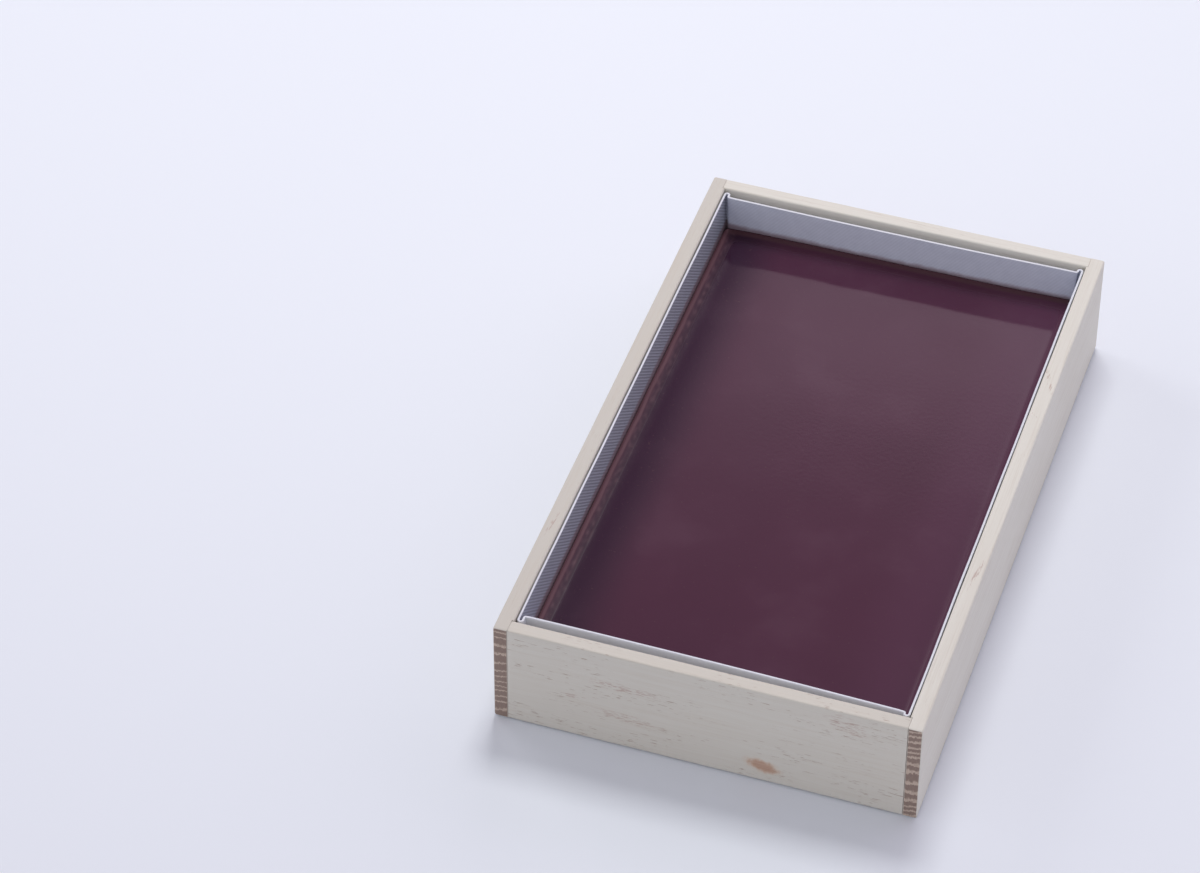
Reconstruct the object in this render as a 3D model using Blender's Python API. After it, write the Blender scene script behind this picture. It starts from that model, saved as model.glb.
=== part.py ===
"""Soft yokan set in its paper-lined open wooden box.

The box has two long side boards that run its full length, two end boards let
into shallow rabbets in them, and a bottom board between all four. A tray folded
from one sheet of coated paper lines the box. The yokan was poured into the tray
and set there, so its top edge climbs the walls.

Units are metres. X is the width, Y the length (the front is at -Y), Z is up.
The origin is at the middle of the box's underside.
"""
import math

import bmesh
import bpy
from mathutils import Vector

# Driving dimensions of the box
BOX_WIDTH = 0.120
BOX_LENGTH = 0.199
BOX_HEIGHT = 0.034
SIDE_THICKNESS = 0.0046
END_THICKNESS = 0.0043
BOTTOM_THICKNESS = 0.0035
RABBET_DEPTH = 0.0006
EDGE_ROUNDING = 0.0005
EDGE_SEGMENTS = 3
JOINT_GAP = 0.0002
CONTACT_GAP = 0.0003

# The paper tray, measured at its top edge
PAPER_THICKNESS = 0.0006
TRAY_TOP = BOX_HEIGHT - 0.0007
TRAY_LEFT = -0.05515
TRAY_RIGHT = 0.0551
TRAY_FRONT_LEFT = -0.0923
TRAY_FRONT_RIGHT = -0.0936
TRAY_BACK_LEFT = 0.0927
TRAY_BACK_RIGHT = 0.0930
END_WALL_BOW = 0.0004
WALL_DRAFT = 0.047
TRAY_BASE_RADIUS = 0.0012
END_WALL_SEGMENTS = 12

# Hairpin fold that takes up the spare paper at each corner of the tray
FOLD_SLIT = 0.0007
FOLD_BEND_RADIUS = 0.0004
FOLD_CLEARANCE = 0.0008
FOLD_TURN_SEGMENTS = 8
FOLD_BEND_SEGMENTS = 3

# The yokan
YOKAN_LEVEL = 0.0210
EDGE_CLIMB = 0.0020
EDGE_CLIMB_REACH = 0.0018
YOKAN_BASE_RADIUS = 0.0010
YOKAN_CORNER_RADIUS = 0.0010
YOKAN_CORNER_SEGMENTS = 4
YOKAN_WALL_SEGMENTS = 12
YOKAN_EDGE_INSETS = (0.0, 0.0002, 0.00045, 0.0008, 0.0013, 0.0020, 0.0030, 0.0045, 0.0065, 0.0090)

BASE_SEGMENTS = 3

# Worked out from the dimensions above
HALF_WIDTH = BOX_WIDTH / 2
HALF_LENGTH = BOX_LENGTH / 2
INNER_HALF_WIDTH = HALF_WIDTH - SIDE_THICKNESS
INNER_HALF_LENGTH = HALF_LENGTH - END_THICKNESS
TRAY_UNDERSIDE = BOTTOM_THICKNESS + CONTACT_GAP
YOKAN_UNDERSIDE = TRAY_UNDERSIDE + PAPER_THICKNESS + CONTACT_GAP

# Colours as linear red, green and blue
WOOD_COLOUR = (0.62, 0.58, 0.51)
PAPER_COLOUR = (0.50, 0.52, 0.60)
YOKAN_COLOUR = (0.035, 0.011, 0.016)


def clear_scene():
    """Remove every object that the open file holds."""
    for item in list(bpy.data.objects):
        bpy.data.objects.remove(item, do_unlink=True)


def make_material(name, colour, roughness, metallic=0.0):
    """One Principled material for one piece."""
    material = bpy.data.materials.new(name)
    material.use_nodes = True
    shader = material.node_tree.nodes["Principled BSDF"]
    shader.inputs["Base Color"].default_value = (*colour, 1.0)
    shader.inputs["Roughness"].default_value = roughness
    shader.inputs["Metallic"].default_value = metallic
    return material


def make_piece(name, shape, material, place, parent):
    """Turn a bmesh into a named object, set down at its place."""
    bmesh.ops.recalc_face_normals(shape, faces=shape.faces)
    mesh = bpy.data.meshes.new(name)
    shape.to_mesh(mesh)
    shape.free()
    mesh.materials.append(material)
    piece = bpy.data.objects.new(name, mesh)
    piece.location = place
    piece.parent = parent
    bpy.context.scene.collection.objects.link(piece)
    return piece


def extruded_outline(outline, height):
    """A prism that stands on the outline, a list of (x, y) points."""
    shape = bmesh.new()
    base = shape.faces.new([shape.verts.new((x, y, 0.0)) for x, y in outline])
    grown = bmesh.ops.extrude_face_region(shape, geom=[base])
    raised = [item for item in grown["geom"] if isinstance(item, bmesh.types.BMVert)]
    bmesh.ops.translate(shape, verts=raised, vec=Vector((0.0, 0.0, height)))
    return shape


def round_edges(shape, is_rounded):
    """Bevel the edges whose two end points pass the given test."""
    chosen = [edge for edge in shape.edges if is_rounded(*(vert.co for vert in edge.verts))]
    bmesh.ops.bevel(
        shape,
        geom=chosen,
        offset=EDGE_ROUNDING,
        offset_type="OFFSET",
        segments=EDGE_SEGMENTS,
        profile=0.5,
        affect="EDGES",
        clamp_overlap=True,
    )


def close_to(value, target):
    """True where two lengths agree to within a hundredth of a millimetre."""
    return abs(value - target) < 1e-5


def side_board(name, side, parent):
    """A long board, full length, with a rabbet at each end for the end boards."""
    outer = SIDE_THICKNESS / 2
    inner = -SIDE_THICKNESS / 2
    rabbet_face = inner + RABBET_DEPTH
    shoulder = INNER_HALF_LENGTH - JOINT_GAP
    outline = [
        (outer, -HALF_LENGTH),
        (outer, HALF_LENGTH),
        (rabbet_face, HALF_LENGTH),
        (rabbet_face, shoulder),
        (inner, shoulder),
        (inner, -shoulder),
        (rabbet_face, -shoulder),
        (rabbet_face, -HALF_LENGTH),
    ]
    shape = extruded_outline([(side * x, y) for x, y in outline], BOX_HEIGHT)

    def is_rounded(start, end):
        along_outer_face = close_to(start.x, side * outer) and close_to(end.x, side * outer)
        along_end = close_to(abs(start.y), HALF_LENGTH) and close_to(start.y, end.y)
        level = close_to(start.z, end.z)
        along_inner_face = close_to(start.x, side * inner) and close_to(end.x, side * inner)
        inner_rim = along_inner_face and level and close_to(start.z, BOX_HEIGHT)
        return along_outer_face or (along_end and level) or inner_rim

    round_edges(shape, is_rounded)
    place = (side * (HALF_WIDTH - SIDE_THICKNESS / 2), 0.0, 0.0)
    return make_piece(name, shape, make_material(name, WOOD_COLOUR, 0.6), place, parent)


def end_board(name, side, parent):
    """A short board, held between the side boards and flush with their ends."""
    half_span = INNER_HALF_WIDTH + RABBET_DEPTH - JOINT_GAP
    outer = END_THICKNESS / 2
    outline = [(-half_span, -outer), (half_span, -outer), (half_span, outer), (-half_span, outer)]
    shape = extruded_outline(outline, BOX_HEIGHT)

    def is_rounded(start, end):
        lengthwise = close_to(start.y, end.y) and close_to(start.z, end.z)
        outer_edge = close_to(start.y, side * outer)
        return lengthwise and (outer_edge or close_to(start.z, BOX_HEIGHT))

    round_edges(shape, is_rounded)
    place = (0.0, side * (HALF_LENGTH - END_THICKNESS / 2), 0.0)
    return make_piece(name, shape, make_material(name, WOOD_COLOUR, 0.6), place, parent)


def bottom_board(name, parent):
    """The bottom, held between the four walls and flush with their lower edges."""
    half_x = INNER_HALF_WIDTH - JOINT_GAP
    half_y = INNER_HALF_LENGTH - JOINT_GAP
    outline = [(-half_x, -half_y), (half_x, -half_y), (half_x, half_y), (-half_x, half_y)]
    shape = extruded_outline(outline, BOTTOM_THICKNESS)
    return make_piece(name, shape, make_material(name, WOOD_COLOUR, 0.6), (0.0, 0.0, 0.0), parent)


def between(start, end, share):
    """The value that lies the given share of the way from start to end."""
    return start + (end - start) * share


def tray_side_x(side, inset):
    """Where the middle of the paper stands in the left or right wall."""
    outer = TRAY_RIGHT if side > 0 else TRAY_LEFT
    return outer - side * (PAPER_THICKNESS / 2 + inset)


def tray_end_y(side, x, inset):
    """Where the middle of the paper stands in the front or back wall, at one x."""
    left, right = (TRAY_BACK_LEFT, TRAY_BACK_RIGHT) if side > 0 else (TRAY_FRONT_LEFT, TRAY_FRONT_RIGHT)
    share = (x - TRAY_LEFT) / (TRAY_RIGHT - TRAY_LEFT)
    bow = END_WALL_BOW * 4 * share * (1 - share)
    return between(left, right, share) - side * (bow + PAPER_THICKNESS / 2 + inset)


def corner_fold(end_side, corner_x):
    """Points of one hairpin, as (inward along x, outward along y), side wall first.

    It reaches from the end wall towards the end board behind it.
    """
    turn_radius = (FOLD_SLIT + PAPER_THICKNESS) / 2
    reach_limit = INNER_HALF_LENGTH - FOLD_CLEARANCE - PAPER_THICKNESS / 2
    turn_start = reach_limit - turn_radius - abs(tray_end_y(end_side, corner_x, 0.0))
    turn_start = max(turn_start, FOLD_BEND_RADIUS)
    points = []
    for step in range(FOLD_TURN_SEGMENTS + 1):
        angle = math.pi * step / FOLD_TURN_SEGMENTS
        points.append((turn_radius * (1 - math.cos(angle)), turn_start + turn_radius * math.sin(angle)))
    for step in range(FOLD_BEND_SEGMENTS + 1):
        angle = math.pi / 2 * step / FOLD_BEND_SEGMENTS
        inward = 2 * turn_radius + FOLD_BEND_RADIUS * (1 - math.cos(angle))
        points.append((inward, FOLD_BEND_RADIUS * (1 - math.sin(angle))))
    return points


def tray_middle_line(inset):
    """The folded sheet seen from above, as one closed loop, anticlockwise."""
    fold_width = FOLD_SLIT + PAPER_THICKNESS + FOLD_BEND_RADIUS
    loop = []
    for end_side, travel in ((-1, 1), (1, -1)):
        first_x = tray_side_x(-travel, inset) + travel * fold_width
        last_x = tray_side_x(travel, inset) - travel * fold_width
        for step in range(1, END_WALL_SEGMENTS):
            x = between(first_x, last_x, step / END_WALL_SEGMENTS)
            loop.append((x, tray_end_y(end_side, x, inset)))
        side_x = tray_side_x(travel, inset)
        for corner_end in (end_side, -end_side):
            wall_y = tray_end_y(corner_end, last_x, inset)
            fold = corner_fold(corner_end, tray_side_x(travel, 0.0))
            corner = [(side_x - travel * inward, wall_y + corner_end * outward) for inward, outward in fold]
            loop += corner if corner_end == -end_side else reversed(corner)
    return loop


def tray_face(z, inset, side):
    """One face of the paper at a height: side +1 is the outside, -1 the inside."""
    line = tray_middle_line(inset)
    count = len(line)
    face = []
    for index, (x, y) in enumerate(line):
        before = line[index - 1]
        after = line[(index + 1) % count]
        along = Vector((after[0] - before[0], after[1] - before[1])).normalized()
        face.append((x + along.y * side * PAPER_THICKNESS / 2, y - along.x * side * PAPER_THICKNESS / 2, z))
    return face


def wall_inset(z):
    """How far the slanting walls stand in from their top edge, at a height."""
    return WALL_DRAFT * (TRAY_TOP - z)


def loft(shape, rings):
    """Join equal rings of points by quads, and close the first and last ring."""
    levels = [[shape.verts.new(point) for point in ring] for ring in rings]
    count = len(levels[0])
    for lower, upper in zip(levels, levels[1:]):
        for index in range(count):
            following = (index + 1) % count
            shape.faces.new((lower[index], lower[following], upper[following], upper[index]))
    shape.faces.new(list(reversed(levels[0])))
    shape.faces.new(levels[-1])


def paper_tray(name, parent):
    """The tray as one folded sheet: up the outside, over the edge and down the inside."""
    inner_radius = TRAY_BASE_RADIUS - PAPER_THICKNESS
    base_top = TRAY_UNDERSIDE + TRAY_BASE_RADIUS
    angles = [math.pi / 2 * step / BASE_SEGMENTS for step in range(BASE_SEGMENTS + 1)]
    rings = []
    for angle in angles:
        z = base_top - TRAY_BASE_RADIUS * math.cos(angle)
        inset = wall_inset(z) + TRAY_BASE_RADIUS * (1 - math.sin(angle))
        rings.append(tray_face(z, inset, 1))
    rings.append(tray_face(TRAY_TOP, 0.0, 1))
    rings.append(tray_face(TRAY_TOP, 0.0, -1))
    for angle in reversed(angles):
        z = base_top - inner_radius * math.cos(angle)
        inset = wall_inset(z) + inner_radius * (1 - math.sin(angle))
        rings.append(tray_face(z, inset, -1))
    shape = bmesh.new()
    loft(shape, rings)
    return make_piece(name, shape, make_material(name, PAPER_COLOUR, 0.45), (0.0, 0.0, 0.0), parent)


def yokan_outline(z, inset):
    """The yokan's edge at a height, a rounded rectangle just inside the tray's walls."""
    wall = wall_inset(z) + PAPER_THICKNESS / 2 + CONTACT_GAP + inset
    radius = YOKAN_CORNER_RADIUS
    left = tray_side_x(-1, wall)
    right = tray_side_x(1, wall)
    ring = []
    for end_side, travel in ((-1, 1), (1, -1)):
        first_x = (left if travel > 0 else right) + travel * radius
        last_x = (right if travel > 0 else left) - travel * radius
        for step in range(YOKAN_WALL_SEGMENTS):
            x = between(first_x, last_x, step / YOKAN_WALL_SEGMENTS)
            ring.append((x, tray_end_y(end_side, x, wall), z))
        near_y = tray_end_y(end_side, last_x, wall) - end_side * radius
        far_y = tray_end_y(-end_side, last_x, wall) + end_side * radius
        for step in range(YOKAN_CORNER_SEGMENTS + 1):
            angle = math.pi / 2 * step / YOKAN_CORNER_SEGMENTS
            x = last_x + travel * radius * math.sin(angle)
            ring.append((x, near_y + end_side * radius * math.cos(angle), z))
        for step in range(1, YOKAN_WALL_SEGMENTS):
            ring.append((last_x + travel * radius, between(near_y, far_y, step / YOKAN_WALL_SEGMENTS), z))
        for step in range(YOKAN_CORNER_SEGMENTS):
            angle = math.pi / 2 * step / YOKAN_CORNER_SEGMENTS
            x = last_x + travel * radius * math.cos(angle)
            ring.append((x, far_y - end_side * radius * math.sin(angle), z))
    return ring


def yokan_height(inset):
    """Height of the surface at a distance from the wall, where it climbs the paper."""
    return YOKAN_LEVEL + EDGE_CLIMB * math.exp(-inset / EDGE_CLIMB_REACH)


def yokan_block(name, parent):
    """The set yokan: a block that fills the tray, with edges that climb the walls."""
    rings = []
    for step in range(BASE_SEGMENTS + 1):
        angle = math.pi / 2 * step / BASE_SEGMENTS
        z = YOKAN_UNDERSIDE + YOKAN_BASE_RADIUS * (1 - math.cos(angle))
        rings.append(yokan_outline(z, YOKAN_BASE_RADIUS * (1 - math.sin(angle))))
    for inset in YOKAN_EDGE_INSETS:
        rings.append(yokan_outline(yokan_height(inset), inset))
    shape = bmesh.new()
    loft(shape, rings)
    return make_piece(name, shape, make_material(name, YOKAN_COLOUR, 0.15), (0.0, 0.0, 0.0), parent)


def build():
    """Make the box, its paper tray and the yokan."""
    clear_scene()
    box = bpy.data.objects.new("yokan_in_box", None)
    bpy.context.scene.collection.objects.link(box)
    side_board("box_side_left", -1, box)
    side_board("box_side_right", 1, box)
    end_board("box_end_front", -1, box)
    end_board("box_end_back", 1, box)
    bottom_board("box_bottom", box)
    paper_tray("paper_tray", box)
    yokan_block("yokan", box)


build()
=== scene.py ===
# %% [markdown]
# # Soft yokan in its paper-lined box
#
# Yokan is a sweet of red bean paste, sugar and agar. The soft kind is poured warm
# into a shallow wooden box that a folded sheet of coated paper lines, and it sets
# there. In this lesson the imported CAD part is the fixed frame, and each of its
# solids gets a finer piece with the finish of the real thing.

# %% Load the frame
import math

import bpy
from mathutils import Matrix, Vector, noise


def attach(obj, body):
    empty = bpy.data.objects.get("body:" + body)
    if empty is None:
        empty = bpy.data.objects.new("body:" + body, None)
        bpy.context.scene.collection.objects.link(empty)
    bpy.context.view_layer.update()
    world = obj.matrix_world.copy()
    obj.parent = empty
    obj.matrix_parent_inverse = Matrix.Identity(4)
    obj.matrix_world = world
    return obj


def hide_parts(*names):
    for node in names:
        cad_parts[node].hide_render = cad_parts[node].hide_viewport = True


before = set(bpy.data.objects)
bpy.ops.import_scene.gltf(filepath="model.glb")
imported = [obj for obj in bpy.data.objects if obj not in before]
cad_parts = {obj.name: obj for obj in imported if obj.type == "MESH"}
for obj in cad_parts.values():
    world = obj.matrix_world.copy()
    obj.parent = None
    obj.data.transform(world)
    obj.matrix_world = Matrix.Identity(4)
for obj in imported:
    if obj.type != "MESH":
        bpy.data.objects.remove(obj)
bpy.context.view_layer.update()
print("solids:", ", ".join(sorted(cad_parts)))

# %% [markdown]
# ## The camera
#
# A product picture of a flat box is taken with a long lens from above one corner,
# so its edges stay nearly parallel. The camera could be moved by eye, but here its
# place was solved from the corners of the box. The three turns are written one
# after the other: about the upright axis, down towards the table, and the small
# roll.

# %% Camera
CAMERA_PLACE = (0.2357, -0.8988, 0.9079)
CAMERA_TURN = 18.372
CAMERA_TILT = 46.685
CAMERA_ROLL = 0.194
LENS_MM = 135.96

camera = bpy.data.objects.new("camera", bpy.data.cameras.new("camera"))
bpy.context.scene.collection.objects.link(camera)
turn = Matrix.Rotation(math.radians(CAMERA_TURN), 4, "Z")
tilt = Matrix.Rotation(math.radians(CAMERA_TILT), 4, "X")
roll = Matrix.Rotation(math.radians(CAMERA_ROLL), 4, "Z")
camera.rotation_euler = (turn @ tilt @ roll).to_euler()
camera.location = CAMERA_PLACE
camera.data.lens = LENS_MM
camera.data.clip_start = 0.01
bpy.context.scene.camera = camera
print("camera", round(camera.location.length, 3), "m from the box")

# %% [markdown]
# ## Small tools for node trees
#
# Every finish below is a tree of nodes. Nodes can be placed by hand in the Shader
# Editor. A script is easier to read when one short function makes a node, fills in
# its sockets and links what comes from other nodes. All finishes measure in
# millimetres.

# %% Making and linking nodes
MM_PER_METRE = 1000.0


def add_node(tree, kind, inputs=None, **settings):
    """Add one node, set its options, and fill or link its sockets."""
    node = tree.nodes.new(kind)
    for name, value in settings.items():
        setattr(node, name, value)
    for name, value in (inputs or {}).items():
        if isinstance(value, bpy.types.NodeSocket):
            tree.links.new(value, node.inputs[name])
        else:
            node.inputs[name].default_value = value
    return node


def calculate(tree, operation, first, second=0.0):
    """One sum or product of two values."""
    return add_node(tree, "ShaderNodeMath", {0: first, 1: second}, operation=operation).outputs[0]


def calculate_vector(tree, operation, inputs):
    """The outputs of one step of arithmetic with vectors."""
    return add_node(tree, "ShaderNodeVectorMath", inputs, operation=operation).outputs


def stretch(tree, vector, scale):
    """Scale a vector along each axis."""
    return calculate_vector(tree, "MULTIPLY", {0: vector, 1: scale})[0]


def split(tree, vector):
    """The X, Y and Z of a vector."""
    return add_node(tree, "ShaderNodeSeparateXYZ", {"Vector": vector}).outputs


def cloud(tree, vector, scale, detail=2.0):
    """Soft random values from 0 to 1."""
    inputs = {"Vector": vector, "Scale": scale, "Detail": detail}
    return add_node(tree, "ShaderNodeTexNoise", inputs).outputs[0]


def rise(tree, value, low, high, bottom=0.0, top=1.0):
    """A smooth step from bottom to top, as the value goes from low to high."""
    inputs = {0: value, 1: low, 2: high, 3: bottom, 4: top}
    return add_node(tree, "ShaderNodeMapRange", inputs, interpolation_type="SMOOTHSTEP").outputs[0]


def blend(tree, share, first, second):
    """Mix two colours."""
    inputs = {0: share, 6: first, 7: second}
    return add_node(tree, "ShaderNodeMix", inputs, data_type="RGBA").outputs[2]


def new_material(name, roughness):
    """A named material with its tree, its shader, and its place in millimetres."""
    material = bpy.data.materials.new(name)
    material.use_nodes = True
    tree = material.node_tree
    shader = tree.nodes["Principled BSDF"]
    shader.inputs["Roughness"].default_value = roughness
    place = add_node(tree, "ShaderNodeTexCoord").outputs["Object"]
    return material, tree, shader, stretch(tree, place, (MM_PER_METRE,) * 3)


def relief(tree, shader, height, depth_mm):
    """Make fine relief of a height from 0 to 1, which is depth_mm deep."""
    bump = add_node(tree, "ShaderNodeBump", {"Height": height, "Distance": depth_mm / MM_PER_METRE})
    tree.links.new(bump.outputs[0], shader.inputs["Normal"])


# %% [markdown]
# ## The table and the light
#
# The box lies on a pale sweep in a bright room. One soft lamp high at the back and a
# weaker one at the left give the pale tops, the darker front and the faint shadow
# towards the front and the right. A single strong lamp would be simpler, but its
# shadow would be too hard for this picture.

# %% Table
TABLE_SIZE = 8.0
TABLE_DROP = 0.0004
TABLE_COLOUR = (0.835, 0.88, 0.95, 1.0)


def set_up_table():
    """A wide pale sheet just under the box."""
    bpy.ops.mesh.primitive_plane_add(size=TABLE_SIZE, location=(0.0, 0.0, -TABLE_DROP))
    table = bpy.context.object
    table.name = "table"
    material, _, shader, _ = new_material("pale_table", 0.6)
    shader.inputs["Base Color"].default_value = TABLE_COLOUR
    shader.inputs["Specular IOR Level"].default_value = 0.2
    table.data.materials.append(material)
    print("table", TABLE_SIZE, "m wide")


set_up_table()

# %% Light
ROOM_FRONT = (0.88, 0.87, 0.91, 1.0)
ROOM_RIGHT = (0.44, 0.43, 0.46, 1.0)
ROOM_BACK = (1.30, 1.15, 1.30, 1.0)
ROOM_DIM_CORNER = (0.24, 0.21, 0.28, 1.0)
ROOM_ABOVE = (0.40, 0.38, 0.42, 1.0)
LAMP_COLOUR = (1.0, 0.99, 0.97)


def light_room():
    """Soft light from all round: brightest low at the back, with a dim corner left of that."""
    world = bpy.data.worlds.new("soft_room")
    bpy.context.scene.world = world
    world.use_nodes = True
    tree = world.node_tree
    direction = split(tree, add_node(tree, "ShaderNodeTexCoord").outputs["Generated"])
    colour = blend(tree, rise(tree, direction["X"], 0.1, 0.7), ROOM_FRONT, ROOM_RIGHT)
    colour = blend(tree, rise(tree, direction["Y"], 0.1, 0.7), colour, ROOM_BACK)
    to_left = rise(tree, direction["X"], -0.17, -0.31)
    to_back = rise(tree, direction["Y"], 0.0, 0.5)
    colour = blend(tree, calculate(tree, "MULTIPLY", to_left, to_back), colour, ROOM_DIM_CORNER)
    colour = blend(tree, rise(tree, direction["Z"], 0.662, 0.705), colour, ROOM_ABOVE)
    tree.links.new(colour, tree.nodes["Background"].inputs["Color"])


def add_lamp(name, place, size, power):
    """A square soft lamp that faces the box."""
    lamp = bpy.data.objects.new(name, bpy.data.lights.new(name, "AREA"))
    bpy.context.scene.collection.objects.link(lamp)
    lamp.location = place
    lamp.rotation_euler = (-Vector(place)).to_track_quat("-Z", "Y").to_euler()
    lamp.data.size = size
    lamp.data.energy = power
    lamp.data.color = LAMP_COLOUR
    print(name, power, "W")


light_room()
add_lamp("lamp_back", (-0.07, 0.37, 0.88), 0.28, 3.3)
add_lamp("lamp_left", (-0.80, 0.40, 0.62), 0.40, 1.3)
bpy.context.scene.view_settings.view_transform = "Standard"

# %% [markdown]
# ## Making a piece
#
# A mesh is a list of points and a list of faces that join them. The pieces here are
# lofts: rings of points, one after the other, joined by four-sided faces. The same
# could be done with curves and a bevel, but rings give control over every rounded
# edge.

# %% Rings to a mesh
def add_piece(name, node, points, faces, material):
    """A smooth mesh that rides on the part and stands for one of its solids."""
    mesh = bpy.data.meshes.new(name)
    mesh.from_pydata(points, [], faces)
    mesh.polygons.foreach_set("use_smooth", [True] * len(mesh.polygons))
    mesh.materials.append(material)
    piece = bpy.data.objects.new(name, mesh)
    bpy.context.scene.collection.objects.link(piece)
    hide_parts(node)
    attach(piece, "root")
    print(name, len(points), "points,", len(faces), "faces")
    return piece


def join_rings(rings):
    """Points and faces of a closed solid through equal rings, the first one lowest."""
    points = [point for ring in rings for point in ring]
    count = len(rings[0])
    faces = [tuple(range(count - 1, -1, -1))]
    for level in range(len(rings) - 1):
        start = level * count
        for index in range(count):
            after = (index + 1) % count
            faces.append((start + index, start + after,
                          start + count + after, start + count + index))
    faces.append(tuple(range(len(points) - count, len(points))))
    return points, faces


# %% [markdown]
# ## The boards
#
# The box is made of thin planed boards. Two long sides run the full length, and the
# ends stand in shallow rabbets between them. Sandpaper has broken every edge, a
# little more here and a little less there. Each board is a rounded section that is
# swept along the grain. Noise moves the edge by hundredths of a millimetre, always
# inwards, so the board never grows into its neighbour.

# %% Board sizes
BOX_WIDTH = 0.120
BOX_LENGTH = 0.199
BOX_HEIGHT = 0.034
SIDE_THICKNESS = 0.0046
END_THICKNESS = 0.0043
BOTTOM_THICKNESS = 0.0035
RABBET_DEPTH = 0.0006
JOINT_GAP = 0.00003
HALF_WIDTH = BOX_WIDTH / 2
HALF_LENGTH = BOX_LENGTH / 2
INNER_HALF_WIDTH = HALF_WIDTH - SIDE_THICKNESS
INNER_HALF_LENGTH = HALF_LENGTH - END_THICKNESS

# %% [markdown]
# Sections are closed outlines across the grain, and stations are places along it.
# Both are dense where the board rounds off, so that the smooth shading of a rounded
# edge doesn't spread over the flat faces beside it.

# %% Sections and stations
SHARP_EDGE = 0.0001
ARC_STEPS = 5
FLAT_SHARES = (0.04, 0.2, 0.4, 0.6, 0.8, 0.96)
STATION_SPACING = 0.0015
BREAK_WIDTH = 1e-6


def board_section(low, high, bottom, top, radii):
    """A rounded rectangle as (across, up) points, anticlockwise from its lower left."""
    corners = ((low, bottom, 1, 1, 180), (high, bottom, -1, 1, 270),
               (high, top, -1, -1, 0), (low, top, 1, -1, 90))
    section = []
    for (across, up, inward, upward, first_angle), radius in zip(corners, radii):
        for step in range(ARC_STEPS + 1):
            angle = math.radians(first_angle + 90 * step / ARC_STEPS)
            section.append((across + inward * radius + radius * math.cos(angle),
                            up + upward * radius + radius * math.sin(angle)))
    filled = []
    for index, point in enumerate(section):
        filled.append(point)
        if index % (ARC_STEPS + 1) == ARC_STEPS:
            after = section[(index + 1) % len(section)]
            for share in FLAT_SHARES:
                filled.append((point[0] + (after[0] - point[0]) * share,
                               point[1] + (after[1] - point[1]) * share))
    return filled


def board_stations(half_length, rounding, breaks):
    """Places along a board, each with how far the section shrinks there."""
    stations = []
    for step in range(ARC_STEPS + 1):
        angle = math.pi / 2 * step / ARC_STEPS
        stations.append((-half_length + rounding * (1 - math.sin(angle)),
                         rounding * (1 - math.cos(angle))))
    stations.sort()
    count = int(2 * half_length / STATION_SPACING)
    inside = [-half_length + 2 * half_length * step / count for step in range(1, count)]
    inside += [place for edge in breaks for place in (edge - BREAK_WIDTH, edge + BREAK_WIDTH)]
    stations += [(place, 0.0) for place in sorted(inside)]
    stations += [(-place, shrink) for place, shrink in reversed(stations[:ARC_STEPS + 1])]
    return stations


# %% Sweeping a board
WEAR_LEAST = 0.8
WEAR_SPREAD = 0.5
WEAR_PERIOD = 0.011
CROWN_DIP = 0.00008
CROWN_PERIOD = 0.017
NO_RABBET = (1, 0.0, 0.0)


def waver(place, period, seed):
    """A slow random value from 0 to 1."""
    return 0.5 + 0.5 * noise.noise(Vector((place / period, seed, 0.5)))


def worn_radii(along, rounding, seed):
    """The rounding of the section's four corners at one station."""
    return [rounding * (WEAR_LEAST + WEAR_SPREAD * waver(along, WEAR_PERIOD, seed + corner * 3.7))
            for corner in range(4)]


def board(name, node, grain, seed, span, top, half_length, rounding, end_rounding,
          rabbet, material):
    """Sweep a board along the grain, across a span and from the table up to its top.

    A rabbet is (side of the board, its depth, its shoulder).
    """
    low, high = span
    side, depth, shoulder = rabbet
    inner_corners = {-1: (0, 3), 1: (1, 2)}[side]
    breaks = (-shoulder, shoulder) if depth else ()
    rings = []
    for along, shrink in board_stations(half_length, end_rounding, breaks):
        cut = depth if abs(along) > shoulder else 0.0
        left = low + shrink + (cut if side < 0 else 0.0)
        right = high - shrink - (cut if side > 0 else 0.0)
        worn = worn_radii(along, rounding, seed)
        if cut:
            worn = [SHARP_EDGE if corner in inner_corners else worn[corner] for corner in range(4)]
        crown = top - shrink - CROWN_DIP * waver(along, CROWN_PERIOD, seed)
        section = board_section(left, right, shrink, crown, worn)
        if grain == "Y":
            rings.append([(across, along, up) for across, up in section][::-1])
        else:
            rings.append([(along, across, up) for across, up in section])
    points, faces = join_rings(rings)
    add_piece(name, node, points, faces, material)


# %% [markdown]
# ## The wood
#
# The boards are of light softwood under a thin white wash. On their long faces the
# grain shows only as faint streaks and short brown pores. The sawn end grain took
# no wash, so its growth rings show as brown and pale bands. A photograph of wood
# could be wrapped round each board, but rings that run through the whole solid
# meet at every edge, as in real wood. Y runs along the grain in these nodes.

# %% Growth rings
RING_DRIFT = 12.0
RING_RAGGED = 1.8
RING_FADE = 0.22


def turn_to_grain(tree, place, grain):
    """Swap X and Y where the grain runs along X."""
    if grain == "Y":
        return place
    parts = split(tree, place)
    inputs = {"X": parts["Y"], "Y": parts["X"], "Z": parts["Z"]}
    return add_node(tree, "ShaderNodeCombineXYZ", inputs).outputs[0]


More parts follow.
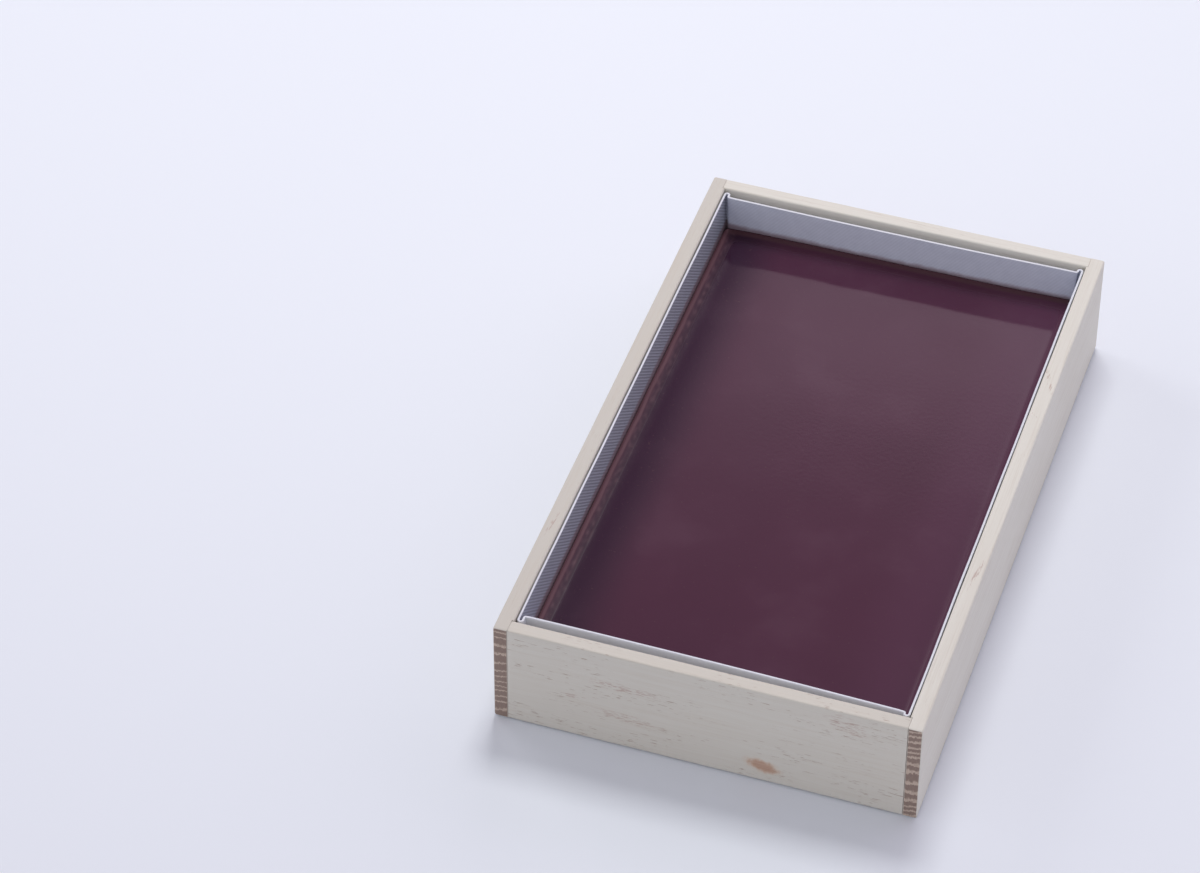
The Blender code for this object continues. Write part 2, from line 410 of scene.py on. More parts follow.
def growth_rings(tree, place, slant, pitch, dark_share):
    """Values from 0, early wood, to 1, late wood, in slanting layers across the board."""
    drift = cloud(tree, stretch(tree, place, (0.02, 0.004, 0.07)), 1.0)
    ragged = cloud(tree, stretch(tree, place, (1.5, 0.1, 0.8)), 1.0, 4.0)
    parts = split(tree, place)
    level = calculate(tree, "ADD", parts["Z"], calculate(tree, "MULTIPLY", parts["X"], slant))
    level = calculate(tree, "ADD", level, calculate(tree, "MULTIPLY", drift, RING_DRIFT))
    level = calculate(tree, "ADD", level, calculate(tree, "MULTIPLY", ragged, RING_RAGGED))
    share = calculate(tree, "FRACT", calculate(tree, "DIVIDE", level, pitch))
    start = rise(tree, share, 1.0 - dark_share - RING_FADE, 1.0 - dark_share)
    return calculate(tree, "MULTIPLY", start, rise(tree, share, 0.93, 1.0, 1.0, 0.0))


# %% [markdown]
# Each face starts as plain wash. Streaks and pores come next, and then the brown
# flecks and the knot that this box happens to have. The end grain is mixed in last,
# wherever a face looks along the grain.

# %% Faces and ends
STREAK = (0.56, 0.50, 0.42, 1.0)
PORE = (0.32, 0.20, 0.15, 1.0)
RING_DARK = (0.24, 0.17, 0.14, 1.0)
RING_PALE = (0.54, 0.43, 0.35, 1.0)
RING_HATCH = (0.30, 0.22, 0.18, 1.0)


def wood_fibres(tree, place):
    """Long fine fibres along the grain."""
    return cloud(tree, stretch(tree, place, (2.2, 0.05, 2.2)), 1.0, 4.0)


def streak_face(tree, place, wash, fibres, rings):
    """The wash, with faint patches, streaks and rings showing through."""
    patches = cloud(tree, stretch(tree, place, (0.05, 0.012, 0.05)), 1.0)
    colour = blend(tree, rise(tree, patches, 0.35, 0.65, 0.0, 0.12), wash, STREAK)
    streaks = calculate(tree, "MULTIPLY", rise(tree, fibres, 0.45, 0.75), 0.3)
    colour = blend(tree, streaks, colour, STREAK)
    return blend(tree, calculate(tree, "MULTIPLY", rings, 0.08), colour, STREAK)


def open_pores(tree, place, pore_share):
    """Short dashes along the grain, in crowded patches."""
    dashes = cloud(tree, stretch(tree, place, (3.6, 0.30, 3.6)), 1.0, 2.0)
    crowded = cloud(tree, stretch(tree, place, (0.18, 0.05, 0.18)), 1.0)
    pores = calculate(tree, "MULTIPLY", rise(tree, dashes, 0.63, 0.70),
                      rise(tree, crowded, 0.44, 0.60))
    return calculate(tree, "MULTIPLY", pores, pore_share)


def sawn_end(tree, place, rings):
    """Brown and pale rings, with fine hatching across them."""
    rays = cloud(tree, stretch(tree, place, (5.0, 1.0, 1.1)), 1.0, 3.0)
    colour = blend(tree, rings, RING_PALE, RING_DARK)
    return blend(tree, rise(tree, rays, 0.40, 0.65, 0.0, 0.45), colour, RING_HATCH)


# %% Flecks and knots
FLECK = (0.40, 0.25, 0.21, 1.0)
KNOT = (0.60, 0.45, 0.34, 1.0)
KNOT_CORE = (0.46, 0.29, 0.21, 1.0)
KNOT_CORE_SHARE = 0.8


def oval_mark(tree, place, centre, half_size, slope):
    """1 in the middle of an oval on a face, and 0 outside it.

    The slope is the oval's shift for each millimetre along the grain.
    """
    offset = calculate_vector(tree, "SUBTRACT", {0: place, 1: centre})[0]
    along = split(tree, offset)["Y"]
    shift = calculate_vector(tree, "SCALE", {0: slope, "Scale": along})[0]
    levelled = calculate_vector(tree, "SUBTRACT", {0: offset, 1: shift})[0]
    scaled = stretch(tree, levelled, tuple(1.0 / size for size in half_size))
    length = calculate_vector(tree, "LENGTH", {0: scaled})["Value"]
    uneven = calculate(tree, "MULTIPLY", cloud(tree, place, 0.9, 3.0), 0.6)
    return rise(tree, calculate(tree, "ADD", length, uneven), 0.7, 1.3, 1.0, 0.0)


def add_flecks(tree, place, own_place, flecks, colour):
    """Brown specks inside each fleck's oval."""
    specks = cloud(tree, stretch(tree, own_place, (3.6, 0.45, 3.6)), 1.0, 2.0)
    specks = rise(tree, specks, 0.50, 0.62, 0.0, 0.6)
    for fleck in flecks:
        flecked = calculate(tree, "MULTIPLY", specks, oval_mark(tree, place, *fleck))
        colour = blend(tree, flecked, colour, FLECK)
    return colour


def add_knot(tree, place, fibres, knot, colour):
    """A small brown knot with a darker core that fibres break up."""
    centre, half_size, slope = knot
    core_size = tuple(size * KNOT_CORE_SHARE for size in half_size)
    colour = blend(tree, oval_mark(tree, place, centre, half_size, slope), colour, KNOT)
    core = oval_mark(tree, place, centre, core_size, slope)
    core = calculate(tree, "MULTIPLY", core, rise(tree, fibres, 0.30, 0.60, 0.35, 1.0))
    return blend(tree, core, colour, KNOT_CORE)


# %% Wood finish
def washed_wood(name, grain, seed, wash, rings, pore_share, flecks=(), knot=None):
    """White-washed wood. The rings are (slant, pitch in millimetres, dark share)."""
    material, tree, shader, place = new_material(name, 0.62)
    board_place = turn_to_grain(tree, place, grain)
    shift = {0: board_place, 1: (seed * 3.1, seed * 17.0, 0.0)}
    own_place = calculate_vector(tree, "ADD", shift)[0]
    rings = growth_rings(tree, own_place, *rings)
    fibres = wood_fibres(tree, own_place)
    pores = open_pores(tree, own_place, pore_share)

    colour = streak_face(tree, own_place, wash, fibres, rings)
    colour = blend(tree, pores, colour, PORE)
    colour = add_flecks(tree, board_place, own_place, flecks, colour)
    if knot:
        colour = add_knot(tree, board_place, fibres, knot, colour)
    facing = split(tree, add_node(tree, "ShaderNodeTexCoord").outputs["Normal"])[grain]
    sawn = rise(tree, calculate(tree, "ABSOLUTE", facing), 0.80, 0.93)
    colour = blend(tree, sawn, colour, sawn_end(tree, own_place, rings))
    tree.links.new(colour, shader.inputs["Base Color"])

    height = calculate(tree, "SUBTRACT", calculate(tree, "MULTIPLY", fibres, 0.35), pores)
    relief(tree, shader, height, 0.05)
    return material


# %% [markdown]
# Every mark is (centre, half size, slope), in millimetres. On the front board the
# grain runs along X, so its marks name Y first. The seed moves each board to wood of
# its own.

# %% Making the boards
# The left board's greyer wash is painted shade.
WASH_GREY_PAINTED_SHADE = (0.60, 0.575, 0.525, 1.0)
WASH_WARM = (0.645, 0.62, 0.56, 1.0)
WASH_PALE = (0.735, 0.72, 0.66, 1.0)
LEFT_FLECKS = (((-57.9, -56.2, 34.0), (0.8, 6.5, 1.5), (0.10, 0.0, 0.0)),)
RIGHT_FLECKS = (((57.5, 43.5, 34.0), (0.9, 7.5, 1.5), (-0.38, 0.0, 0.0)),
                ((56.8, 28.8, 34.0), (0.6, 1.6, 1.5), (-1.1, 0.0, 0.0)),
                ((58.0, -38.7, 34.0), (0.8, 8.5, 1.5), (0.13, 0.0, 0.0)))
FRONT_FLECKS = (((-99.5, 39.5, 29.2), (4.0, 7.5, 4.0), (0.0, 0.0, -0.3)),
                ((-99.5, -22.0, 11.2), (4.0, 13.0, 2.0), (0.0, 0.0, -0.06)),
                ((-99.5, -37.0, 15.0), (4.0, 4.0, 1.0), (0.0, 0.0, 0.0)),
                ((-99.5, -22.0, 22.5), (4.0, 13.0, 2.0), (0.0, 0.0, 0.0)))
FRONT_KNOT = ((-99.5, 16.6, 5.8), (4.0, 6.3, 3.1), (0.0, 0.0, -0.16))
EDGE_ROUNDING = 0.0005
SIDE_END_ROUNDING = 0.0004
BOTTOM_ROUNDING = 0.0003


def make_side_boards():
    """The two long boards, each with a rabbet at both ends of its inner face. The left one's greyer
    wash is painted shade.
    """
    left_wood = washed_wood("wood_left", "Y", 3, WASH_GREY_PAINTED_SHADE, (-0.15, 2.6, 0.70), 0.15, LEFT_FLECKS)
    right_wood = washed_wood("wood_right", "Y", 8, WASH_PALE, (-0.22, 2.4, 0.55), 0.12,
                             RIGHT_FLECKS)
    shoulder = INNER_HALF_LENGTH - JOINT_GAP
    board("left_side_board", "box_side_left", "Y", 1.0, (-HALF_WIDTH, -INNER_HALF_WIDTH),
          BOX_HEIGHT, HALF_LENGTH, EDGE_ROUNDING, SIDE_END_ROUNDING,
          (1, RABBET_DEPTH, shoulder), left_wood)
    board("right_side_board", "box_side_right", "Y", 2.0, (INNER_HALF_WIDTH, HALF_WIDTH),
          BOX_HEIGHT, HALF_LENGTH, EDGE_ROUNDING, SIDE_END_ROUNDING,
          (-1, RABBET_DEPTH, shoulder), right_wood)


def make_end_boards():
    """The two short boards between the sides."""
    front_wood = washed_wood("wood_front", "X", 5, WASH_WARM, (0.1, 2.9, 0.5), 0.7,
                             FRONT_FLECKS, FRONT_KNOT)
    back_wood = washed_wood("wood_back", "X", 12, WASH_PALE, (0.1, 3.0, 0.5), 0.2)
    half_span = INNER_HALF_WIDTH + RABBET_DEPTH - JOINT_GAP
    board("front_end_board", "box_end_front", "X", 3.0, (-HALF_LENGTH, -INNER_HALF_LENGTH),
          BOX_HEIGHT, half_span, EDGE_ROUNDING, SHARP_EDGE, NO_RABBET, front_wood)
    board("back_end_board", "box_end_back", "X", 4.0, (INNER_HALF_LENGTH, HALF_LENGTH),
          BOX_HEIGHT, half_span, EDGE_ROUNDING, SHARP_EDGE, NO_RABBET, back_wood)


def make_bottom_board():
    """The thin board between the four walls."""
    wood = washed_wood("wood_bottom", "Y", 20, WASH_PALE, (0.8, 4.0, 0.4), 0.4)
    half_span = INNER_HALF_WIDTH - JOINT_GAP
    board("bottom_board", "box_bottom", "Y", 5.0, (-half_span, half_span), BOTTOM_THICKNESS,
          INNER_HALF_LENGTH - JOINT_GAP, BOTTOM_ROUNDING, BOTTOM_ROUNDING, NO_RABBET, wood)


make_side_boards()
make_end_boards()
make_bottom_board()

# %% [markdown]
# ## The paper tray
#
# The lining is one sheet of coated paper with a fine slanting emboss. At each corner
# the spare paper is tucked into a small hairpin behind the end wall. The path of the
# folded sheet is drawn once, seen from above. Its outside and inside faces stand
# half the paper's thickness from that path. A thin sheet with a Solidify modifier
# would do as well, but this way the cut top edge is a face of its own.

# %% Tray sizes
PAPER_THICKNESS = 0.0006
CONTACT_GAP = 0.0003
TRAY_TOP = BOX_HEIGHT - 0.0007
TRAY_LEFT = -0.05515
TRAY_RIGHT = 0.0551
TRAY_ENDS = {-1: (-0.0923, -0.0936), 1: (0.0927, 0.0930)}
END_WALL_BOW = 0.0004
WALL_DRAFT = 0.047
TRAY_UNDERSIDE = BOTTOM_THICKNESS + CONTACT_GAP


def wall_inset(z):
    """How far the walls stand in from their top edge, at a height."""
    return WALL_DRAFT * (TRAY_TOP - z)


def tray_side_x(side, inset):
    """Where the middle of the paper stands in the left or right wall."""
    outer = TRAY_RIGHT if side > 0 else TRAY_LEFT
    return outer - side * (PAPER_THICKNESS / 2 + inset)


def tray_end_y(side, x, inset):
    """Where the middle of the paper stands in the front or back wall, at one x."""
    left, right = TRAY_ENDS[side]
    share = (x - TRAY_LEFT) / (TRAY_RIGHT - TRAY_LEFT)
    bow = END_WALL_BOW * 4 * share * (1 - share)
    return left + (right - left) * share - side * (bow + PAPER_THICKNESS / 2 + inset)


# %% The folded sheet from above
FOLD_SLIT = 0.0007
FOLD_BEND_RADIUS = 0.0004
FOLD_CLEARANCE = 0.0008
TURN_STEPS = 16
BEND_STEPS = 6
END_WALL_STEPS = 72
SIDE_WALL_STEPS = 120


def corner_fold(end_side, corner_x):
    """Points of one hairpin, as (inward along x, outward along y), side wall first."""
    turn_radius = (FOLD_SLIT + PAPER_THICKNESS) / 2
    reach = INNER_HALF_LENGTH - FOLD_CLEARANCE - PAPER_THICKNESS / 2
    wall_y = abs(tray_end_y(end_side, corner_x, 0.0))
    turn_start = max(reach - turn_radius - wall_y, FOLD_BEND_RADIUS)
    points = []
    for step in range(TURN_STEPS + 1):
        angle = math.pi * step / TURN_STEPS
        points.append((turn_radius * (1 - math.cos(angle)),
                       turn_start + turn_radius * math.sin(angle)))
    for step in range(BEND_STEPS + 1):
        angle = math.pi / 2 * step / BEND_STEPS
        points.append((2 * turn_radius + FOLD_BEND_RADIUS * (1 - math.cos(angle)),
                       FOLD_BEND_RADIUS * (1 - math.sin(angle))))
    return points


def tray_path(inset):
    """The folded sheet: a closed loop of (x, y, wall direction), anticlockwise."""
    fold_width = FOLD_SLIT + PAPER_THICKNESS + FOLD_BEND_RADIUS
    loop = []
    for end_side, travel in ((-1, 1), (1, -1)):
        first_x = tray_side_x(-travel, inset) + travel * fold_width
        last_x = tray_side_x(travel, inset) - travel * fold_width
        for step in range(1, END_WALL_STEPS):
            x = first_x + (last_x - first_x) * step / END_WALL_STEPS
            loop.append((x, tray_end_y(end_side, x, inset), (0, end_side)))
        side_x = tray_side_x(travel, inset)
        for corner_end in (end_side, -end_side):
            wall_y = tray_end_y(corner_end, last_x, inset)
            fold = corner_fold(corner_end, tray_side_x(travel, 0.0))
            corner = [(side_x - travel * inward, wall_y + corner_end * outward, (travel, 0))
                      for inward, outward in fold]
            loop += corner if corner_end == -end_side else corner[::-1]
            if corner_end == end_side:
                start = loop[-1][1]
                stop = tray_end_y(-end_side, last_x, inset) - end_side * fold[0][1]
                loop += [(side_x, start + (stop - start) * step / SIDE_WALL_STEPS, (travel, 0))
                         for step in range(1, SIDE_WALL_STEPS)]
    return loop


# %% Tray faces
TRAY_BASE_RADIUS = 0.0012
BASE_ARC_STEPS = 4
WALL_STEPS = 9
RIM_DEPTHS = (0.0003, 0.00005)
RIM_SHARES = (0.85, 0.3, -0.3, -0.85)
LEAN = 0.00016
LEAN_START = 0.015
LEAN_PERIOD = 0.03


def tray_face(z, inset, side):
    """One face of the paper at a height: side 1 is the outside, -1 the inside."""
    line = tray_path(inset)
    high = max(0.0, (z - LEAN_START) / (TRAY_TOP - LEAN_START))
    offset = side * PAPER_THICKNESS / 2
    face = []
    for index, (x, y, wall) in enumerate(line):
        before, after = line[index - 1], line[(index + 1) % len(line)]
        along = Vector((after[0] - before[0], after[1] - before[1])).normalized()
        uneven = noise.noise(Vector((x / LEAN_PERIOD, y / LEAN_PERIOD, 3.0))) - 0.5
        lean = LEAN * high * uneven
        face.append((x + along.y * offset + lean * wall[0],
                     y - along.x * offset + lean * wall[1], z))
    return face


def tray_rings():
    """Rings of points up the outside, over the cut edge and down the inside."""
    base_top = TRAY_UNDERSIDE + TRAY_BASE_RADIUS
    inner_radius = TRAY_BASE_RADIUS - PAPER_THICKNESS
    angles = [math.pi / 2 * step / BASE_ARC_STEPS for step in range(BASE_ARC_STEPS + 1)]
    wall_height = TRAY_TOP - base_top
    levels = [base_top + wall_height * step / WALL_STEPS for step in range(1, WALL_STEPS)]
    levels += [TRAY_TOP - depth for depth in RIM_DEPTHS]
    rings = []
    for angle in angles:
        z = base_top - TRAY_BASE_RADIUS * math.cos(angle)
        rings.append(tray_face(z, wall_inset(z) + TRAY_BASE_RADIUS * (1 - math.sin(angle)), 1))
    rings += [tray_face(z, wall_inset(z), 1) for z in levels]
    rings += [tray_face(TRAY_TOP, 0.0, side) for side in RIM_SHARES]
    rings += [tray_face(z, wall_inset(z), -1) for z in reversed(levels)]
    for angle in reversed(angles):
        z = base_top - inner_radius * math.cos(angle)
        rings.append(tray_face(z, wall_inset(z) + inner_radius * (1 - math.sin(angle)), -1))
    return rings


# %% [markdown]
# The inside of the sheet is embossed with fine slanting ribs, and its back is plain.
# The ribs slant one way on the side walls and another way on the end walls, where they
# are also fainter. The ribs' colour also paints shade, so the side walls come out darker
# than the end walls. A UV map tells the finish how far each point lies across the ribs
# and how strong they are there, so one wave of colour and relief draws them all. Syrup
# has stained the sheet brown just above the yokan.

# %% Inside of the paper
PAPER = (0.70, 0.75, 0.89, 1.0)
PAPER_PALE = (0.74, 0.79, 0.93, 1.0)
# The dark rib colour, which also paints shade on the side walls.
PAPER_RIBS_AND_PAINTED_SHADE = (0.20, 0.215, 0.27, 1.0)
PAPER_EDGE = (0.72, 0.74, 0.81, 1.0)
PAPER_STAIN = (0.24, 0.15, 0.175, 1.0)
STAIN_LEVEL = 22.8
STAIN_WICKING = -1.2
EMBOSS_PITCH = 0.87
EMBOSS_DEPTH = 0.12
RIB_SWING = 0.20
RIB_MIDDLE = 0.64
MM_PER_UV = 100


def embossed_paper():
    """Silky coated paper with slanting ribs, painted shade on the side walls, and a pale cut edge.
    """
    material, tree, shader, place = new_material("embossed_paper", 0.42)
    ribbed = split(tree, add_node(tree, "ShaderNodeUVMap", uv_map="across_ribs").outputs[0])
    phase = calculate(tree, "MULTIPLY", ribbed["X"], 2 * math.pi * MM_PER_UV / EMBOSS_PITCH)
    wave = calculate(tree, "MULTIPLY", calculate(tree, "SINE", phase), RIB_SWING)
    ribs = calculate(tree, "MULTIPLY", calculate(tree, "ADD", wave, RIB_MIDDLE), ribbed["Y"])
    mottle = rise(tree, cloud(tree, place, 0.35, 3.0), 0.3, 0.7)
    # The ribs' colour is the emboss, and it is also painted shade that darkens the side walls.
    colour = blend(tree, ribs, blend(tree, mottle, PAPER, PAPER_PALE), PAPER_RIBS_AND_PAINTED_SHADE)

    up = split(tree, place)["Z"]
    wicked = calculate(tree, "MULTIPLY", cloud(tree, place, 0.3, 3.0), STAIN_WICKING)
    wicked = calculate(tree, "ADD", up, wicked)
    stain = rise(tree, wicked, STAIN_LEVEL + 1.3, STAIN_LEVEL - 0.5, 0.0, 0.8)
    colour = blend(tree, stain, colour, PAPER_STAIN)
    edge = rise(tree, up, TRAY_TOP * 1000 - 0.14, TRAY_TOP * 1000 - 0.02)
    tree.links.new(blend(tree, edge, colour, PAPER_EDGE), shader.inputs["Base Color"])

    grain = calculate(tree, "MULTIPLY", cloud(tree, place, 3.0, 2.0), 0.25)
    relief(tree, shader, calculate(tree, "ADD", ribs, grain), EMBOSS_DEPTH)
    return material


# %% Rib map
RIB_SLANT_SHORT = 0.640
RIB_SLANT_LONG = 0.768
END_WALL_STRENGTH = 0.2
UV_PER_METRE = 10


def measure_across_ribs(piece):
    """Write the UV map: how far each point lies across the ribs, and their strength, which also
    sets each wall's painted shade.
    """
    layer = piece.data.uv_layers.new(name="across_ribs")
    for polygon in piece.data.polygons:
        on_side = abs(polygon.normal.x) > abs(polygon.normal.y)
        # Full strength on the side walls also gives them their painted shade.
        strength = 1.0 if on_side else END_WALL_STRENGTH
        for loop in polygon.loop_indices:
            x, y, z = piece.data.vertices[piece.data.loops[loop].vertex_index].co
            if on_side:
                across = RIB_SLANT_SHORT * y - math.copysign(RIB_SLANT_LONG, x) * z
            else:
                across = RIB_SLANT_LONG * x - math.copysign(RIB_SLANT_SHORT, y) * z
            layer.data[loop].uv = (across * UV_PER_METRE, strength)


# %% Back of the paper
PAPER_BACK = (0.80, 0.83, 0.91, 1.0)
PAPER_BACK_PALE = (0.86, 0.89, 0.96, 1.0)
OUTSIDE_BANDS = BASE_ARC_STEPS + WALL_STEPS - 1 + len(RIM_DEPTHS)


def plain_paper_back():
    """The plain pale back of the sheet, which is the outside of the tray."""
    material, tree, shader, place = new_material("plain_paper_back", 0.6)
    fibres = cloud(tree, place, 1.2, 4.0)
    colour = blend(tree, fibres, PAPER_BACK, PAPER_BACK_PALE)
    tree.links.new(colour, shader.inputs["Base Color"])
    relief(tree, shader, fibres, 0.02)
    return material


def show_back(piece):
    """Give the back of the sheet to the base and the bands of faces up the outside."""
    piece.data.materials.append(plain_paper_back())
    count = len(tray_path(0.0))
    for polygon in piece.data.polygons[:1 + count * OUTSIDE_BANDS]:
        polygon.material_index = 1


tray_points, tray_polygons = join_rings(tray_rings())
tray = add_piece("folded_paper_tray", "paper_tray",
                 tray_points, tray_polygons, embossed_paper())
measure_across_ribs(tray)
show_back(tray)

# %% [markdown]
# ## The yokan
#
# The yokan set where it was poured. Its surface is almost level, with slow swells,
# and it climbs a little where it wets the paper. Along the left wall the skin has
# wrinkled into a fine ridge with broken crumbs beside it. The surface is a set of
# closed rings that follow the tray, dense at the wall and wider towards the middle.
# Heights come from a formula, which keeps the gloss smooth where a sculpted mesh
# would show its facets.

# %% Yokan outline
YOKAN_UNDERSIDE = TRAY_UNDERSIDE + PAPER_THICKNESS + CONTACT_GAP
YOKAN_LEVEL = 0.0210
YOKAN_CORNER_RADIUS = 0.0010
YOKAN_CORNER_STEPS = 6
YOKAN_END_STEPS = 90
YOKAN_SIDE_STEPS = 210


def wall_face_inset(z):
    """How far the yokan's side stands in from the middle of the paper's top edge."""
    return wall_inset(z) + PAPER_THICKNESS / 2 + CONTACT_GAP


def yokan_outline(z, inset):
    """The yokan's edge at a height, as (x, y) points of a rounded rectangle."""
    wall = wall_face_inset(z) + inset
    radius = YOKAN_CORNER_RADIUS
    left, right = tray_side_x(-1, wall), tray_side_x(1, wall)
    ring = []
    for end_side, travel in ((-1, 1), (1, -1)):
        first_x = (left if travel > 0 else right) + travel * radius
        last_x = (right if travel > 0 else left) - travel * radius
        for step in range(YOKAN_END_STEPS):
            x = first_x + (last_x - first_x) * step / YOKAN_END_STEPS
            ring.append((x, tray_end_y(end_side, x, wall)))
        near_y = tray_end_y(end_side, last_x, wall) - end_side * radius
        far_y = tray_end_y(-end_side, last_x, wall) + end_side * radius
        for step in range(YOKAN_CORNER_STEPS + 1):
            angle = math.pi / 2 * step / YOKAN_CORNER_STEPS
            x = last_x + travel * radius * math.sin(angle)
            ring.append((x, near_y + end_side * radius * math.cos(angle)))
        for step in range(1, YOKAN_SIDE_STEPS):
            y = near_y + (far_y - near_y) * step / YOKAN_SIDE_STEPS
            ring.append((last_x + travel * radius, y))
        for step in range(YOKAN_CORNER_STEPS):
            angle = math.pi / 2 * step / YOKAN_CORNER_STEPS
            x = last_x + travel * radius * math.cos(angle)
            ring.append((x, far_y - end_side * radius * math.sin(angle)))
    return ring


# %% Edge and wrinkles
EDGE_CLIMB_REACHES = (0.0010, 0.0008, 0.0010, 0.0008)
RIDGE_PLACE = 0.0007
RIDGE_WANDER = 0.0003
RIDGE_WIDTH = 0.0003
BAND_WIDTH = 0.0030
CRUMBS_PLACE = 0.0023
CRUMBS_WIDTH = 0.0013


def wall_distances(x, y):
    """How far a place lies from the left, right, front and back walls, at the surface."""
    wall = wall_face_inset(YOKAN_LEVEL)
    distances = (x - tray_side_x(-1, wall), tray_side_x(1, wall) - x,
                 y - tray_end_y(-1, x, wall), tray_end_y(1, x, wall) - y)
    return [max(0.0, distance) for distance in distances]


def edge_climb(x, y):
    """How far the surface has climbed the walls at a place, from 0 to 1."""
    level_share = 1.0
    for distance, reach in zip(wall_distances(x, y), EDGE_CLIMB_REACHES):
        level_share *= 1 - math.exp(-distance / reach)
    return 1 - level_share


def hump(distance, width):
    """A smooth hump that is 1 high, and gone at about twice its width."""
    return math.exp(-(distance / width) ** 2)


def wrinkles(from_left, y):
    """How wrinkled the skin is: a ridge in a band along the left wall, and broken crumbs."""
    wander = noise.noise(Vector((y / 0.012, 1.0, 0.0)))
    ridge_line = RIDGE_PLACE + RIDGE_WANDER * wander
    ridge = 0.7 * hump(from_left - ridge_line, RIDGE_WIDTH)
    band = 0.4 * hump(from_left, BAND_WIDTH)
    broken = max(0.0, noise.noise(Vector((from_left / 0.0009, y / 0.0025, 4.0))) + 0.2)
    return ridge + band + 0.4 * broken * hump(from_left - CRUMBS_PLACE, CRUMBS_WIDTH)


# %% Yokan surface
EDGE_CLIMB = 0.0020
SUNK_EDGE = 0.0010
SUNK_REACH = 0.010
SWELL = 0.00006
SWELL_PERIOD = 0.045
RIPPLE = 0.00011
RIPPLE_REACH = 0.015
WRINKLE = 0.00009


def yokan_height(x, y):
    """Height of the surface at a place."""
    from_left, _, _, from_back = wall_distances(x, y)
    swell = SWELL * noise.noise(Vector((x / SWELL_PERIOD, y / SWELL_PERIOD, 7.0)))
    sunk = SUNK_EDGE * math.exp(-from_left / SUNK_REACH)
    ripple = RIPPLE * math.exp(-from_back / RIPPLE_REACH)
    ripple *= noise.noise(Vector((x / 0.011, y / 0.02, 2.0)))
    wrinkle = WRINKLE * wrinkles(from_left, y)
    return YOKAN_LEVEL + EDGE_CLIMB * edge_climb(x, y) + swell - sunk + ripple + wrinkle


# %% Yokan block
YOKAN_BASE_RADIUS = 0.0010
YOKAN_BASE_STEPS = 4
YOKAN_WALL_STEPS = 6
FIRST_STRIDE = 0.00012
STRIDE_GROWTH = 1.10
LONGEST_STRIDE = 0.0013
INNERMOST_RING = 0.0515


def yokan_rings():
    """Rings round the base, up the sides and in across the surface."""
    rings = []
    for step in range(YOKAN_BASE_STEPS + 1):
        angle = math.pi / 2 * step / YOKAN_BASE_STEPS
        z = YOKAN_UNDERSIDE + YOKAN_BASE_RADIUS * (1 - math.cos(angle))
        inset = YOKAN_BASE_RADIUS * (1 - math.sin(angle))
        rings.append([(x, y, z) for x, y in yokan_outline(z, inset)])
    foot = YOKAN_UNDERSIDE + YOKAN_BASE_RADIUS
    side_height = YOKAN_LEVEL - YOKAN_UNDERSIDE - YOKAN_BASE_RADIUS
    for step in range(1, YOKAN_WALL_STEPS):
        z = foot + side_height * step / YOKAN_WALL_STEPS
        rings.append([(x, y, z) for x, y in yokan_outline(z, 0.0)])
    inset, stride = 0.0, FIRST_STRIDE
    while inset < INNERMOST_RING:
        edge = yokan_outline(YOKAN_LEVEL, inset)
        rings.append([(x, y, yokan_height(x, y)) for x, y in edge])
        inset += stride
        stride = min(stride * STRIDE_GROWTH, LONGEST_STRIDE)
    return rings


# %% [markdown]
# Bean paste is nearly opaque, dark red-brown, and wet on top. The red comes from the
# body, and a cool sheen from the bright room lies over it. The finish is one glossy
# shader with slight clouds in its colour, painted shade along the left wall, a painted
# sheen along the right, and fine bumps for bean particles under the skin. Where the
# skin has climbed the paper or wrinkled, it is dry and dull, and the pale wrinkled skin
# is partly a painted highlight. Light that goes into the body and out again could be
# added, but in so dark a paste it hardly shows.

# %% Yokan colour
# Two of these colours are painted light: a darker tone for painted shade along the left wall, and a
# paler one for a painted sheen along the right.
YOKAN = (0.062, 0.0125, 0.035, 1.0)
YOKAN_CLOUD = (0.068, 0.0145, 0.039, 1.0)
YOKAN_BLOOM = (0.20, 0.12, 0.16, 1.0)
YOKAN_PAINTED_SHADE = (0.033, 0.0060, 0.025, 1.0)
YOKAN_PAINTED_SHEEN = (0.082, 0.0215, 0.052, 1.0)
YOKAN_SPECK = (0.10, 0.045, 0.05, 1.0)


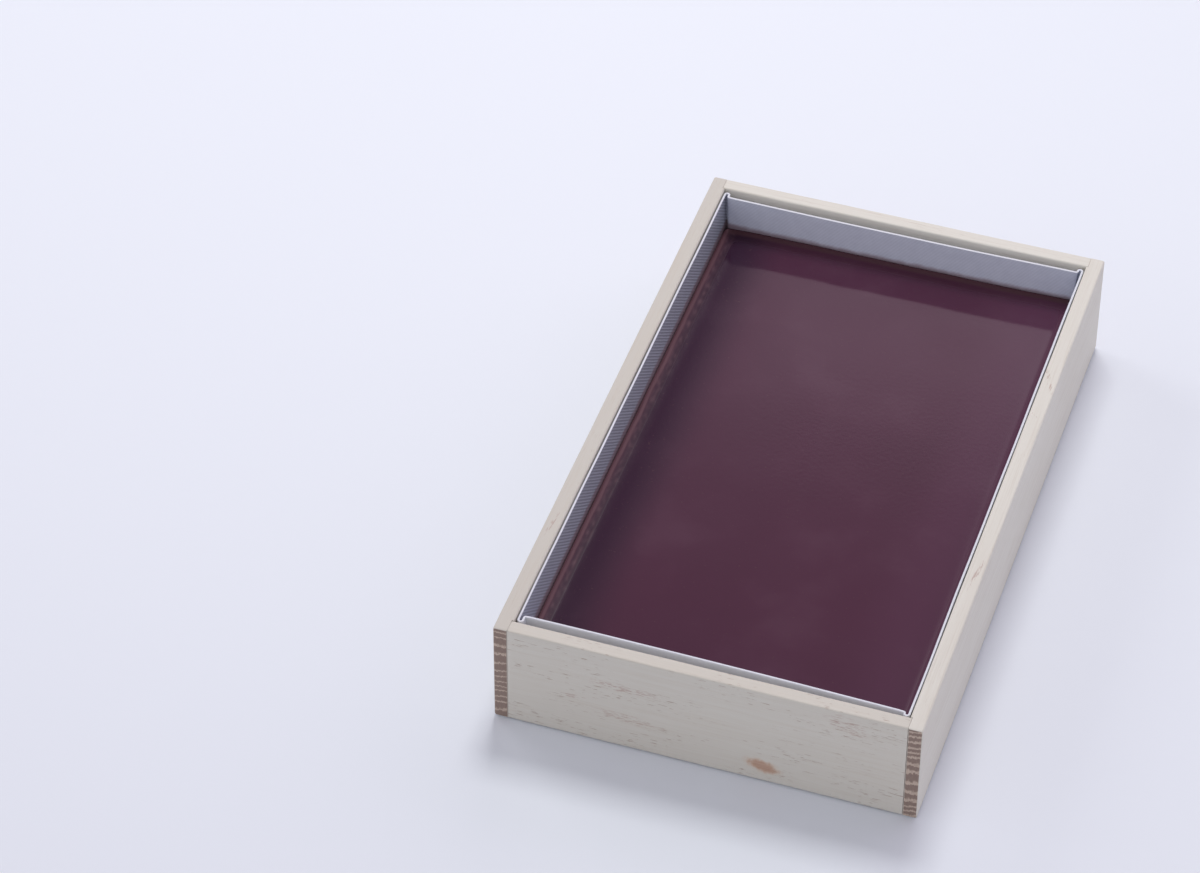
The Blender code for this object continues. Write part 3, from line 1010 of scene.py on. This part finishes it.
def paste_colour(tree, place):
    """Dark red-brown, with painted shade along the left and a painted sheen along the right, and
    faint specks.
    """
    clouds = cloud(tree, place, 0.022, 3.0)
    colour = blend(tree, rise(tree, clouds, 0.35, 0.65), YOKAN, YOKAN_CLOUD)
    wander = calculate(tree, "MULTIPLY", clouds, 4.0)
    across = calculate(tree, "ADD", split(tree, place)["X"], wander)
    # Painted shade darkens the left side, and a painted sheen lightens the right side.
    colour = blend(tree, rise(tree, across, -30.0, -46.0), colour, YOKAN_PAINTED_SHADE)
    colour = blend(tree, rise(tree, across, 28.0, 50.0), colour, YOKAN_PAINTED_SHEEN)
    bloom = rise(tree, cloud(tree, place, 0.045, 5.0), 0.50, 0.75, 0.0, 0.06)
    colour = blend(tree, bloom, colour, YOKAN_BLOOM)
    specks = rise(tree, cloud(tree, place, 1.1, 2.0), 0.66, 0.76)
    return blend(tree, calculate(tree, "MULTIPLY", specks, 0.35), colour, YOKAN_SPECK)


# %% Yokan finish
YOKAN_RIM = (0.070, 0.023, 0.034, 1.0)
YOKAN_SKIN_AND_PAINTED_HIGHLIGHT = (0.180, 0.090, 0.110, 1.0)


def glossy_bean_paste():
    """Dark glossy paste, with a drier, paler skin at its edge; the paleness of the left ridge is
    partly a painted highlight.
    """
    material, tree, shader, place = new_material("bean_paste", 0.17)
    skin = split(tree, add_node(tree, "ShaderNodeUVMap", uv_map="skin").outputs[0])
    climbed = rise(tree, skin["X"], 0.005, 0.07)
    wrinkled = calculate(tree, "MULTIPLY", rise(tree, skin["Y"], 0.08, 0.9), 0.7)
    rim = rise(tree, skin["X"], 0.2, 0.6)
    colour = blend(tree, rim, paste_colour(tree, place), YOKAN_RIM)
    # The wrinkled skin colour is partly dry skin and partly a painted highlight along the left
    # ridge.
    tree.links.new(blend(tree, wrinkled, colour, YOKAN_SKIN_AND_PAINTED_HIGHLIGHT), shader.inputs["Base Color"])

    dull = calculate(tree, "MAXIMUM", climbed, wrinkled)
    film = rise(tree, cloud(tree, place, 0.06, 3.0), 0.35, 0.7, 0.085, 0.095)
    rough = calculate(tree, "ADD", film, calculate(tree, "MULTIPLY", dull, 0.42))
    tree.links.new(rough, shader.inputs["Roughness"])
    tree.links.new(rise(tree, dull, 0.0, 1.0, 0.5, 0.22), shader.inputs["Specular IOR Level"])
    relief(tree, shader, cloud(tree, place, 0.8, 3.0), 0.006)
    return material


def mark_skin(piece):
    """Write the UV map: how far the skin has climbed the wall, and how much it is wrinkled."""
    layer = piece.data.uv_layers.new(name="skin")
    for loop in piece.data.loops:
        x, y, _ = piece.data.vertices[loop.vertex_index].co
        layer.data[loop.index].uv = (edge_climb(x, y), wrinkles(wall_distances(x, y)[0], y))


yokan_points, yokan_polygons = join_rings(yokan_rings())
yokan = add_piece("set_yokan", "yokan",
                  yokan_points, yokan_polygons, glossy_bean_paste())
mark_skin(yokan)
